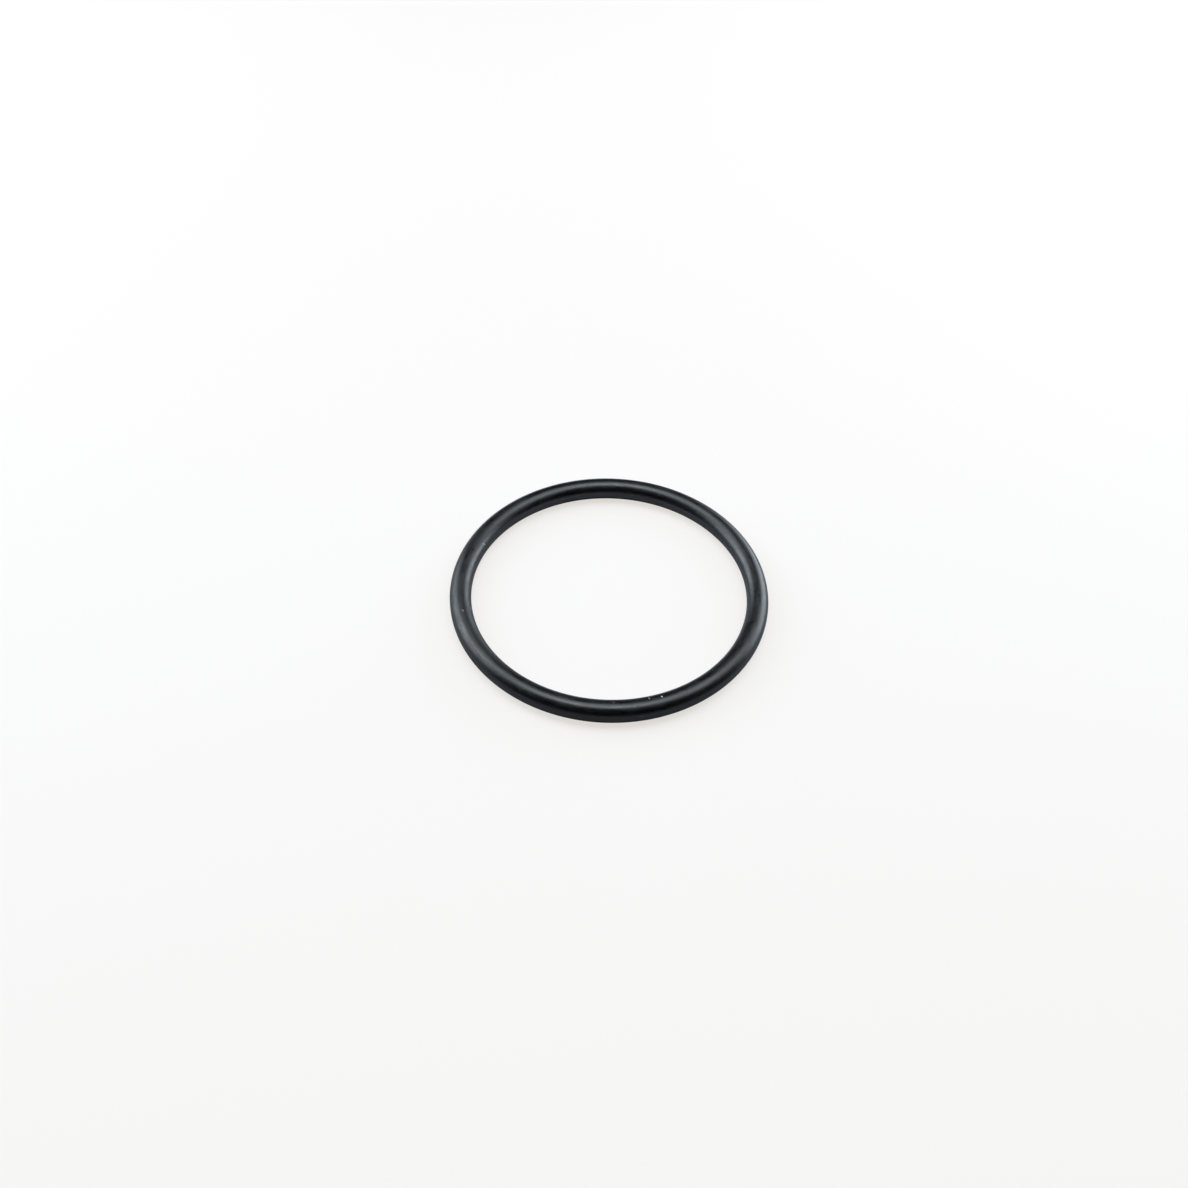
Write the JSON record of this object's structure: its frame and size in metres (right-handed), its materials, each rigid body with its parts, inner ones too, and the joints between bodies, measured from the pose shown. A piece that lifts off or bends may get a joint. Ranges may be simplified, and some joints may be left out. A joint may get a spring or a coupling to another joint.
{
  "type": "rubber o-ring",
  "caption": "Thin round-section rubber sealing ring. It is stretched into a groove and squeezed between two parts to stop liquid or air getting past.",
  "frame": {"origin": "centre of the ring, on the surface that it lies on", "axes": "+Z along the ring's axis, away from the surface; the ring is alike all round, so +X and +Y are free"},
  "size_m": [0.037, 0.037, 0.0025],
  "materials": {
    "black_rubber": "moulded, satin, with a thin dusty bloom"
  },
  "bodies": {
    "root": {"o_ring": "black_rubber"}
  },
  "joints": []
}
